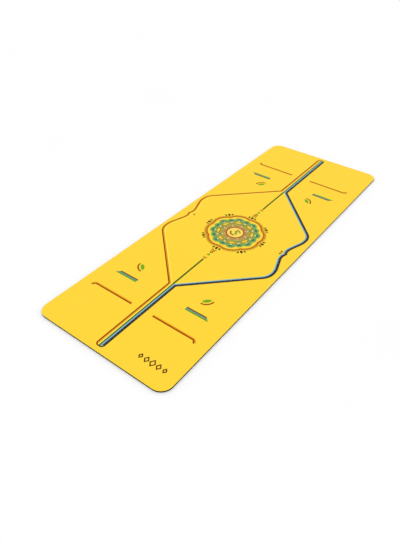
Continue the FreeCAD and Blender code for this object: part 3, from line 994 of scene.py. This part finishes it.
@dataclass
class MatBody:
    """The four bonded plies."""

    groove_pitch: float = 12 * MM
    groove_width: float = 3 * MM
    groove_depth: float = 0.6 * MM
    groove_count: int = 142
    rib_edge: float = 0.25 * MM
    rib_sunk: float = 0.5 * MM
    rib_end: float = 0.1 * MM
    foam_waist: float = 0.25 * MM
    skin_rim: float = 0.25 * MM

    def foam(self) -> None:
        """The foam base: a slab, ribs under it, and a plain pad under each end."""
        rubber = FoamRubber("foamed_natural_rubber").build()
        ply = Ply("foam_base", lift=self.groove_depth, waist=self.foam_waist)
        piece = ply.build("foam_rubber_base", rubber)
        self.add_end_pads(piece, ply)
        low, high = ply.box()
        ribs, height = self.groove_count - 1, self.groove_depth + self.rib_sunk
        first_y = -(ribs - 1) * self.groove_pitch / 2
        rib_tree().apply(
            piece, rubber,
            Rib_Count=ribs, First_Rib=(0, first_y, low.z + height / 2),
            Rib_Pitch=(0, self.groove_pitch, 0),
            Rib_Start=(low.x + self.rib_end, 0, 0), Rib_End=(high.x - self.rib_end, 0, 0),
            Rib_Width=self.groove_pitch - self.groove_width, Rib_Height=height,
            Edge_Radius=self.rib_edge)
        enrol(piece, "foam_base")

    def add_end_pads(self, piece: Object, ply: Ply) -> None:
        """Thicken the slab under both ends, where it has no grooves.

        Args:
            piece: The foam slab.
            ply: The ply that it was made from.
        """
        inner = (self.groove_count - 1) * self.groove_pitch / 2 + self.groove_width / 2
        side = ply.box()[1].x - self.rib_end
        curve = [(x, y) for x, y in ply.outline(self.rib_end) if x > 0 and y > 0]
        right = [(side, inner)] + curve
        patches = []
        for end in End:
            edge = [(x, end.value * y) for x, y in right]
            patches.append(Patch([(-x, y) for x, y in edge], edge))
        pads = film_mesh("end_pads", patches, ply.box()[0].z, self.groove_depth + self.rib_sunk)
        build = bmesh.new()
        build.from_mesh(piece.data)
        build.from_mesh(pads)
        build.to_mesh(piece.data)
        build.free()
        bpy.data.meshes.remove(pads)

    def uppers(self) -> None:
        """The adhesive film, the carrier cloth and the top skin."""
        melt = HotMelt("hot_melt_film").build()
        film = Ply("adhesive_film", rings=1).build("hot_melt_film", melt)
        enrol(film, "adhesive_film")
        for ply, name, finish, slot in (
            (Ply("carrier_fabric", rings=2), "carrier_cloth",
             NonWoven("needled_polyester_felt"), "carrier_fabric"),
            (Ply("top_skin", rim_radius=self.skin_rim, rings=4), "polyurethane_skin",
             PolyurethaneSkin("coagulated_polyurethane"), "pu_skin"),
        ):
            piece = ply.build(name, finish.build())
            enrol(piece, ply.node)
            low, high = ply.box()
            ply.flat_area()

    def build(self) -> None:
        """Make every ply."""
        self.foam()
        self.uppers()


# --- Print -----------------------------------------------------------------------


@dataclass(frozen=True)
class Round:
    """How a motif repeats round the centre: on an edge, or about the centre itself."""

    count: int
    edge: Scallop = Scallop()
    phase: float = 0.0


class PrintBed:
    """Where the print lies: its centre, the skin's top and the film's thickness."""

    def __init__(self) -> None:
        """Read the print's place from the rosette's middle disc."""
        low, high = (Vector(corner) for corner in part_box("rosette_disc"))
        self.centre = Vector(((low.x + high.x) / 2, (low.y + high.y) / 2, 0))
        self.bottom = low.z
        self.film = high.z - low.z
        self.array = round_array_tree()

    def lay(self, name: str, node: str, ink: Ink, patches: Iterable[Patch], layer: int = 0,
            around: Round | None = None) -> None:
        """Print patches in one ink, as one piece.

        Args:
            name: The piece's name.
            node: The CAD node that the piece stands for.
            ink: The ink.
            patches: The patches, with the print's centre as their origin.
            layer: How many films lie under this one.
            around: How the patches repeat, if they do. Their X then points outwards.
        """
        if not around:
            patches = [patch.moved(self.centre.x, self.centre.y) for patch in patches]
        mesh = film_mesh(name, patches, self.bottom + layer * self.film, self.film)
        piece = new_object(name, mesh, ink_material(ink))
        if around:
            self.array.apply(
                piece, ink_material(ink), Count=around.count, Phase=around.phase,
                Centre=tuple(self.centre), Lobes=around.edge.count,
                Arc_Radius=around.edge.arc_radius, Arc_Centre=around.edge.arc_centre)
        enrol(piece, node)


@dataclass
class GuideLines:
    """The seven lines: a stem at each end, and a contour that opens round the rosette."""

    bed: PrintBed
    width: float = 5.5 * MM
    open_width: float = 8 * MM
    gap: float = 0.3 * MM
    stem_corner: float = 14 * MM
    junction: float = 6 * MM
    shoulder_y: float = 179.4 * MM
    shoulder: float = 78 * MM
    lean_top_y: float = 123.5 * MM
    lean_top: float = 132 * MM
    lean_bottom_y: float = 36.5 * MM
    lean_bottom: float = 98 * MM
    waist_inset: float = 30 * MM
    point_out: float = 6 * MM
    point_half: float = 19 * MM
    turn_away: float = math.radians(45)
    side_lines: int = 3

    def __post_init__(self) -> None:
        """Read the outer line's reach and ends from its CAD node."""
        low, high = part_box("line_violet")
        self.pitch = self.width + self.gap
        self.stem = self.side_lines * self.pitch
        self.shoulder_x = high[0] - self.width / 2 - self.bed.centre.x
        self.near = low[1] + self.width / 2 - self.bed.centre.y
        self.far = high[1] - self.width / 2 - self.bed.centre.y
        self.junction_y = self.shoulder_y + self.shoulder_x - self.stem
        self.waist_x = self.shoulder_x - self.waist_inset

    def contour(self) -> list[Corner]:
        """Follow the right-hand outer line from the near junction to the far one.

        Returns:
            Its bends.
        """
        half = [
            Corner(self.stem, self.junction_y, self.junction),
            Corner(self.shoulder_x, self.shoulder_y, self.shoulder),
            Corner(self.shoulder_x, self.lean_top_y, self.lean_top),
            Corner(self.waist_x, self.lean_bottom_y, self.lean_bottom),
            Corner(self.waist_x, self.point_half),
        ]
        near = [Corner(c.x, -c.y, c.radius) for c in half]
        return near + [Corner(self.waist_x + self.point_out, 0)] + half[::-1]

    def outer(self) -> Patch:
        """Draw the outer line with its halves of both end caps.

        Returns:
            The right-hand line.
        """
        ends = []
        for y in (self.near, self.far):
            ends.append([Corner(self.gap / 2, y), Corner(self.stem, y, self.stem_corner)])
        return Track(ends[0] + self.contour() + ends[1][::-1]).band(0, self.width)

    def inner(self, ring_number: int) -> Patch:
        """Draw one of the inner lines, cut to the curve of the end caps.

        Args:
            ring_number: How many lines it lies inside the outer one.

        Returns:
            The right-hand line.
        """
        near = [Corner(self.stem, self.near)]
        far = [Corner(self.stem, self.far)]
        shift = ring_number * self.pitch
        line = Track(near + self.contour() + far).band(shift, self.width)
        return Patch(self.trimmed(line.left), self.trimmed(line.right))

    def trimmed(self, edge: list[Point]) -> list[Point]:
        """Move the ends of an inner line's edge back to the inside of the end caps.

        Args:
            edge: One edge of the line.

        Returns:
            The edge with its new ends.
        """
        x = edge[0][0]
        clear = self.stem_corner - self.width / 2 - self.gap
        across = max(x - (self.stem - self.stem_corner), 0)
        back = self.stem_corner - math.sqrt(max(clear ** 2 - across ** 2, 0))
        return [(x, self.near + back)] + edge[1:-1] + [(x, self.far - back)]

    def build(self) -> None:
        """Print all seven lines."""
        right = [self.outer()] + [self.inner(i) for i in range(1, self.side_lines)]
        cool = (Ink.VIOLET, Ink.NAVY, Ink.SKY)
        warm = (Ink.RED, Ink.ORANGE, Ink.YELLOW)
        for side, inks in ((Side.RIGHT, cool), (Side.LEFT, warm)):
            for patch, ink in zip(right, inks):
                colour = ink.name.lower()
                self.bed.lay(f"guide_line_{colour}", f"line_{colour}", ink,
                             [patch.mirrored(side.value, 1)])
        self.green()

    def green(self) -> None:
        """The middle line, which widens where its neighbours turn away from it."""
        cap_low, cap_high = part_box("tail_caps")
        half, wide = self.width / 2, self.open_width / 2
        inside = half + self.gap
        mitre = self.turn_away / 2
        open_y = self.junction_y - (self.stem - inside) * math.tan(mitre)
        patches = []
        for end, stop, start in ((End.NEAR, self.near + inside, cap_low[1] - self.gap),
                                 (End.FAR, self.far - inside, cap_high[1] + self.gap)):
            rows = [(half, stop), (half, end.value * open_y),
                    (wide, end.value * (open_y - (wide - half))),
                    (wide, start - self.bed.centre.y)]
            patches.append(Patch([(-x, y) for x, y in rows], rows))
        self.bed.lay("guide_line_green", "line_green", Ink.GREEN, patches)


@dataclass
class SideMarks:
    """Bars and leaves beside the stem, and the marks inside the waist."""

    bed: PrintBed
    lines: GuideLines
    bar_from_junction: float = 186 * MM
    bar_width: float = 6.5 * MM
    bar_edge: float = 4.5 * MM
    bar_inner_x: float = 56 * MM
    bar_outer_x: float = 258 * MM
    bar_bend: float = 12 * MM
    hook_x: float = 9 * MM
    hook_y: float = 14 * MM
    guide_from_junction: float = 63.5 * MM
    guide_height: float = 6 * MM
    guide_inner_x: float = 131 * MM
    guide_outer_x: float = 226 * MM
    leaf_length: float = 42 * MM
    leaf_width: float = 17 * MM
    leaf_out: float = 18 * MM
    arc_radius: float = 37.5 * MM
    arc_width: float = 6.5 * MM
    mark_before_junction: float = 21 * MM
    near_mark_x: float = 161 * MM
    far_mark_x: float = 125 * MM
    waist_length: float = 16 * MM
    waist_width: float = 9 * MM
    waist_gap: float = 3 * MM
    lozenge_pitch: float = 28 * MM
    lozenge_height: float = 36 * MM
    lozenge_step: float = 5 * MM
    lozenge_stroke: float = 4.6 * MM
    lozenges: int = 5
    leaf_turn: float = math.radians(-45)
    waist_drop_turn: float = math.radians(-65)
    waist_leaf_turn: float = math.radians(90)
    waist_leaf_splay: float = math.radians(15)

    def cross_bars(self) -> None:
        """Four long bars with hooked outer ends, each with an orange edge on its inner side."""
        y = self.lines.junction_y + self.bar_from_junction
        track = Track([
            Corner(self.bar_inner_x, y),
            Corner(self.bar_outer_x, y, self.bar_bend),
            Corner(self.bar_outer_x + self.hook_x, y + self.hook_y),
        ])
        inward = (self.bar_width + self.bar_edge) / 2 + self.lines.gap
        bar, edge = track.band(0, self.bar_width), track.band(-inward, self.bar_edge)
        self.bed.lay("printed_cross_bars", "cross_bars", Ink.BRICK, bar.four_ways())
        self.bed.lay("printed_cross_bar_edges", "cross_bar_edges", Ink.ORANGE, edge.four_ways())

    def guide_bars(self) -> None:
        """Four stacks of three short bars with a slanted outer end."""
        inks = (("plum", Ink.PLUM), ("grey", Ink.GREY), ("green", Ink.MEADOW))
        for i, (colour, ink) in enumerate(inks):
            rise = i * (self.guide_height + self.lines.gap)
            low = self.lines.junction_y + self.guide_from_junction + rise
            high = low + self.guide_height
            outer = self.guide_outer_x + rise
            bar = Patch([(self.guide_inner_x, low), (self.guide_inner_x, high)],
                        [(outer, low), (outer + self.guide_height, high)])
            node = f"guide_bars_{colour}"
            self.bed.lay("printed_" + node, node, ink, bar.four_ways())

    def leaves(self) -> None:
        """A leaf inside a quarter arc on each side of both junctions."""
        y = self.lines.junction_y - self.mark_before_junction
        leaf = lens(self.leaf_length, self.leaf_width).moved(0, self.leaf_out)
        arc = bent_bar(self.arc_radius, self.arc_width, 0, math.pi / 2)
        for motif, node, ink in ((leaf.moved(turn=self.leaf_turn), "leaf_marks", Ink.LEAF),
                                 (arc, "leaf_arcs", Ink.BRICK)):
            self.bed.lay("printed_" + node, node, ink, [
                motif.moved(x, y).mirrored(side.value, end.value)
                for end, x in ((End.NEAR, self.near_mark_x), (End.FAR, self.far_mark_x))
                for side in Side])

    def waist(self) -> None:
        """A drop inside the left waist and two leaves inside the right one."""
        length, width = self.waist_length, self.waist_width
        lines = self.lines
        inner_edge = lines.waist_x - (lines.side_lines - 1) * lines.pitch - lines.width / 2
        x = inner_edge - self.waist_gap - width / 2
        bead = drop(length, width).moved(-x, length / 2, self.waist_drop_turn)
        self.bed.lay("printed_waist_drop", "waist_mark_left", Ink.BROWN, [bead])
        leaf = lens(length, width)
        pair = [leaf.moved(x, side.value * length / 2,
                           self.waist_leaf_turn + side.value * self.waist_leaf_splay)
                for side in Side]
        self.bed.lay("printed_waist_leaves", "waist_mark_right", Ink.BROWN, pair)

    def corner(self) -> None:
        """A plain row of lozenge frames in the near right corner."""
        low, high = (Vector(corner) - self.bed.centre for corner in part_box("corner_mark"))
        middle = (low + high) / 2
        patches = []
        for i in range(self.lozenges):
            away = i - (self.lozenges - 1) // 2
            half_y = (self.lozenge_height - abs(away) * self.lozenge_step) / 2
            half_x = half_y * (self.lozenge_pitch - self.lines.gap) / self.lozenge_height
            hollow = 1 - self.lozenge_stroke / half_x * math.hypot(half_x, half_y) / half_y
            outer = [(-half_x, 0.0), (0.0, -half_y), (half_x, 0.0), (0.0, half_y)]
            inner = [(x * hollow, y * hollow) for x, y in outer]
            lozenge = Patch(outer, inner, closed=True)
            patches.append(lozenge.moved(middle.x + away * self.lozenge_pitch, middle.y))
        self.bed.lay("printed_corner_lozenges", "corner_mark", Ink.MAROON, patches)

    def build(self) -> None:
        """Print every mark."""
        self.cross_bars()
        self.guide_bars()
        self.leaves()
        self.waist()
        self.corner()


@dataclass
class Rosette:
    """The round ornament, from its middle disc out to the fringe."""

    bed: PrintBed
    gap: float = 0.3 * MM
    border_width: float = 6 * MM
    rose_width: float = 12.4 * MM
    rose_dot: tuple[float, float] = (16 * MM, 7 * MM)
    field_width: float = 33 * MM
    pearl_radius: float = 3.2 * MM
    pearl_margin: float = 0.5 * MM
    olive_petal: tuple[float, float] = (14 * MM, 13 * MM)
    dot_radius: float = 4.2 * MM
    inner_dot_margin: float = 1.8 * MM
    outer_dot_margin: float = 0.8 * MM
    gold_petal: tuple[float, float] = (36 * MM, 13 * MM)
    gold_rim: float = 3 * MM
    gold_rim_margin: float = 0.4 * MM
    band_width: float = 30.4 * MM
    petal_root: float = 9 * MM
    large_petal: float = 24 * MM
    small_petal: float = 21.5 * MM
    small_drop: float = 5.5 * MM
    core: tuple[float, float] = (20 * MM, 11 * MM)
    core_from_peak: float = 15.5 * MM
    lobe_clearance: float = 6.8 * MM
    lobe_width: float = 8.5 * MM
    lobe_depth: float = 9.5 * MM
    lobes: int = 8
    ticks: int = 128
    tick_gap: float = 0.6 * MM
    tick_length: float = 9 * MM
    tick_root: float = 4.4 * MM
    tick_tip: float = 1.8 * MM
    ring_steps: int = 192
    disc_spans: int = 48
    # Each crescent's radius, width, start and end.
    crescents: tuple[tuple[float, float, float, float], ...] = (
        (21.5 * MM, 9 * MM, math.radians(178), math.radians(292)),
        (23 * MM, 5.5 * MM, math.radians(15), math.radians(105)),
    )
    middle_leaf: tuple[float, float] = (24 * MM, 12 * MM)
    # Each middle leaf's X, Y and turn.
    middle_leaf_places: tuple[tuple[float, float, float], ...] = (
        (2 * MM, 10 * MM, math.radians(12)),
        (7 * MM, -5 * MM, math.radians(-40)),
    )

    def __post_init__(self) -> None:
        """Work the radii outwards from the middle disc."""
        low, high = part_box("rosette_disc")
        self.disc = (high[0] - low[0]) / 2
        self.border_in = self.disc + self.gap
        self.rose_in = self.border_in + self.border_width + self.gap
        self.field_in = self.rose_in + self.rose_width + self.gap
        self.field_out = self.field_in + self.field_width
        self.band_in = self.field_out + self.gap
        self.large_peak = self.band_in + self.band_width
        self.small_peak = self.large_peak - self.small_drop
        self.lobe_notch = self.small_peak + self.lobe_clearance + self.lobe_width
        self.lobe_peak = self.lobe_notch + self.lobe_depth
        self.half_step = math.pi / self.lobes

    def fringe(self) -> None:
        """The lobed ring and the ticks that stand on it."""
        width = self.lobe_width
        edge = Scallop(self.lobes, self.lobe_notch, self.lobe_peak)
        inner = Scallop(self.lobes, self.lobe_notch - width, self.lobe_peak - width)
        self.bed.lay("rosette_lobes", "rosette_lobe_ring", Ink.COPPER,
                     [ring(edge, inner, self.ring_steps)])
        root, tip = self.tick_root / 2, self.tick_tip / 2
        tick = Patch([(self.tick_gap, root), (self.tick_length, tip)],
                     [(self.tick_gap, -root), (self.tick_length, -tip)])
        self.bed.lay("rosette_fringe_ticks", "rosette_fringe", Ink.BRICK, [tick],
                     around=Round(self.ticks, edge, math.pi / self.ticks))

    def rings(self) -> None:
        """The petal band, the rings inside it and the middle disc."""
        flower = Flower(self.lobes, self.band_in + self.petal_root, self.large_petal,
                        self.large_peak, self.small_petal, self.small_peak)
        self.bed.lay("rosette_petals", "rosette_petal_band", Ink.SAGE,
                     [ring(flower, circle(self.band_in), 2 * self.ring_steps)])
        for node, inner, width, ink in (
            ("rosette_field", self.field_in, self.field_width, Ink.OLIVE),
            ("rosette_rose_ring", self.rose_in, self.rose_width, Ink.ROSE),
            ("rosette_border", self.border_in, self.border_width, Ink.BROWN),
        ):
            patch = ring(circle(inner + width), circle(inner), self.ring_steps)
            self.bed.lay("printed_" + node, node, ink, [patch])
        self.bed.lay("printed_rosette_disc", "rosette_disc", Ink.BUTTER,
                     [dot(self.disc, self.disc_spans)])

    def overprint(self) -> None:
        """Petal cores, pale dots, rimmed gold petals, pearls and leaves over the rings."""
        quarter, half = math.pi / 2, self.half_step
        core, pale = lens(*self.core).moved(turn=quarter), dot(self.dot_radius)
        rim = lens_rim(*self.gold_petal, self.gold_rim, self.gap)
        gold_place = self.field_out - self.gold_rim_margin - self.gold_rim - self.gold_petal[1] / 2
        pearl_place = self.field_in + self.pearl_margin + self.pearl_radius
        olive_place = pearl_place + self.pearl_radius + self.pearl_margin + self.olive_petal[0] / 2
        rose_place = self.rose_in + self.rose_width / 2
        for name, node, ink, *patches in (
            ("petal_hearts", "petal_cores", Ink.SLATE,
             core.moved(self.large_peak - self.core_from_peak).moved(turn=half),
             core.moved(self.small_peak - self.core_from_peak)),
            ("pale_dots", "cream_dots", Ink.CREAM,
             pale.moved(self.band_in + self.outer_dot_margin + self.dot_radius).moved(turn=half),
             pale.moved(self.field_out - self.inner_dot_margin - self.dot_radius)),
            ("gold_leaves", "gold_petals", Ink.GOLD,
             lens(*self.gold_petal).moved(gold_place, 0, quarter).moved(turn=half)),
            ("leaf_rims", "petal_rims", Ink.BROWN,
             rim.moved(gold_place, 0, quarter).moved(turn=half)),
            ("pearl_dots", "pearls", Ink.CREAM, dot(self.pearl_radius).moved(pearl_place)),
            ("olive_leaves", "olive_petals", Ink.MOSS,
             lens(*self.olive_petal).moved(olive_place)),
            ("rose_leaves", "rose_dots", Ink.APRICOT,
             lens(*self.rose_dot).moved(rose_place, 0, quarter)),
        ):
            self.bed.lay("rosette_" + name, "rosette_" + node, ink, patches, 1, Round(self.lobes))

    def motif(self) -> None:
        """Two crescents and two leaves on the middle disc."""
        self.bed.lay("rosette_middle_crescents", "rosette_crescents", Ink.COPPER,
                     [bent_bar(*sizes) for sizes in self.crescents], 1)
        leaf = lens(*self.middle_leaf)
        self.bed.lay("rosette_middle_leaves", "rosette_leaves", Ink.LEAF,
                     [leaf.moved(*place) for place in self.middle_leaf_places], 1)

    def build(self) -> None:
        """Print the whole rosette."""
        self.fringe()
        self.rings()
        self.overprint()
        self.motif()


@dataclass
class Surround:
    """The eight sprigs round the rosette, and what leads from it to the green line."""

    bed: PrintBed
    rosette: Rosette
    sprig_gap: float = 1.2 * MM
    heart: tuple[float, float] = (19 * MM, 13 * MM)
    side_leaf: tuple[float, float] = (15 * MM, 9.5 * MM)
    side_shift: float = 16 * MM
    side_turn: float = math.radians(24)
    chevrons: int = 3
    chevron_pitch: float = 11 * MM
    chevron_width: float = 24 * MM
    chevron_taper: float = 4 * MM
    chevron_stroke: float = 5 * MM
    chevron_drop: float = 8 * MM
    tail_gap: float = 4.5 * MM
    bead: tuple[float, float] = (16 * MM, 14 * MM)
    bead_gap: float = 4 * MM
    cap: tuple[float, float] = (26 * MM, 18 * MM)
    cap_gap: float = 14 * MM

    def __post_init__(self) -> None:
        """Stand the sprigs just outside the fringe."""
        fringe = self.rosette.lobe_notch + self.rosette.tick_length
        self.sprig_radius = fringe + self.sprig_gap + self.heart[0] / 2

    def sprigs(self) -> None:
        """Eight sprigs, each with a dark heart and two green leaves."""
        radius, around = self.sprig_radius, Round(self.rosette.lobes)
        self.bed.lay("sprig_hearts", "sprig_middles", Ink.WINE, [lens(*self.heart).moved(radius)],
                     around=around)
        leaf = lens(*self.side_leaf)
        pair = [leaf.moved(radius, side.value * self.side_shift, side.value * self.side_turn)
                for side in Side]
        self.bed.lay("sprig_leaves", "sprig_sides", Ink.GREEN, pair, around=around)

    def tails(self) -> None:
        """Chevrons, a drop and a cap towards each end of the mat."""
        start = self.sprig_radius + self.heart[0] / 2 + self.tail_gap
        marks = []
        for i in range(self.chevrons):
            half = (self.chevron_width - i * self.chevron_taper) / 2
            y = start + i * self.chevron_pitch
            track = Track([Corner(-half, y), Corner(0, y + self.chevron_drop), Corner(half, y)])
            marks.append(track.band(0, self.chevron_stroke))
        bead_end = start + self.chevrons * self.chevron_pitch + self.bead_gap + self.bead[0]
        bead = drop(*self.bead).moved(0, bead_end, -math.pi / 2)
        half, foot = self.cap[0] / 2, bead_end + self.cap_gap
        tip = (0.0, foot + self.cap[1])
        cap = Patch([(-half, foot), tip], [(half, foot), tip])
        for node, shapes, ink in (("tail_chevrons", marks, Ink.BROWN),
                                  ("tail_drops", [bead], Ink.LEAF),
                                  ("tail_caps", [cap], Ink.OCHRE)):
            both = [shape.mirrored(end.value, end.value) for shape in shapes for end in End]
            self.bed.lay("printed_" + node, node, ink, both)

    def build(self) -> None:
        """Print the sprigs and both tails."""
        self.sprigs()
        self.tails()


# --- Studio ----------------------------------------------------------------------


@dataclass(frozen=True)
class Viewpoint:
    """The camera: where it stands, which way it looks, and its lens."""

    place: tuple[float, float, float] = (0.9961, -1.6012, 1.3646)
    azimuth: float = 36.153
    elevation: float = 40.438
    roll: float = 0.938
    lens: float = 32.401
    sensor: float = 36.0
    shift: float = -0.0129

    def build(self) -> None:
        """Make the scene's camera."""
        swing = Matrix.Rotation(math.radians(self.azimuth), 4, "Z")
        tilt = Matrix.Rotation(math.radians(90 - self.elevation), 4, "X")
        roll = Matrix.Rotation(math.radians(self.roll), 4, "Z")
        data = bpy.data.cameras.new("camera")
        data.lens, data.sensor_width, data.shift_x = self.lens, self.sensor, self.shift
        camera = bpy.data.objects.new("camera", data)
        camera.matrix_world = Matrix.Translation(self.place) @ swing @ tilt @ roll
        bpy.context.scene.collection.objects.link(camera)
        bpy.context.scene.camera = camera


@dataclass(frozen=True)
class Softbox:
    """A wide, far light that falls evenly on the whole mat."""

    name: str
    azimuth: float
    elevation: float
    spread: float
    strength: float

    def build(self) -> None:
        """Hang the light so that it faces the mat."""
        data = bpy.data.lights.new(self.name, "SUN")
        data.angle, data.energy = math.radians(self.spread), self.strength
        light = bpy.data.objects.new(self.name, data)
        light.rotation_euler = (math.radians(90 - self.elevation), 0, math.radians(self.azimuth))
        bpy.context.scene.collection.objects.link(light)


@dataclass
class Studio:
    """The pale floor, the lights and the camera."""

    floor_radius: float = 80.0
    floor_sides: int = 96
    sky: float = 0.96
    lights: tuple[Softbox, ...] = (
        Softbox("key_softbox", azimuth=-40.0, elevation=62.0, spread=70.0, strength=0.22),
        Softbox("fill_softbox", azimuth=120.0, elevation=50.0, spread=90.0, strength=0.09),
    )

    def build(self) -> None:
        """Make the studio."""
        Viewpoint().build()
        for light in self.lights:
            light.build()
        world = bpy.data.worlds.new("studio_air")
        world.use_nodes = True
        air = world.node_tree.nodes["Background"].inputs
        air["Color"].default_value = (1, 1, 1, 1)
        air["Strength"].default_value = self.sky
        bpy.context.scene.world = world
        bpy.context.scene.view_settings.view_transform = "Standard"
        floor = bpy.data.meshes.new("studio_floor")
        rim = [polar(self.floor_radius, 2 * math.pi * i / self.floor_sides)
               for i in range(self.floor_sides)]
        floor.from_pydata([(x, y, 0) for x, y in rim], [], [range(self.floor_sides)])
        new_object("studio_floor", floor, StudioPaper("seamless_paper").build())


def main() -> None:
    """Build the studio, the plies and the print."""
    logging.basicConfig(level=logging.INFO, format="%(name)s: %(message)s")
    Studio().build()
    MatBody().build()
    bed = PrintBed()
    lines = GuideLines(bed)
    lines.build()
    SideMarks(bed, lines).build()
    rosette = Rosette(bed)
    rosette.build()
    Surround(bed, rosette).build()


if __name__ == "__main__":
    main()
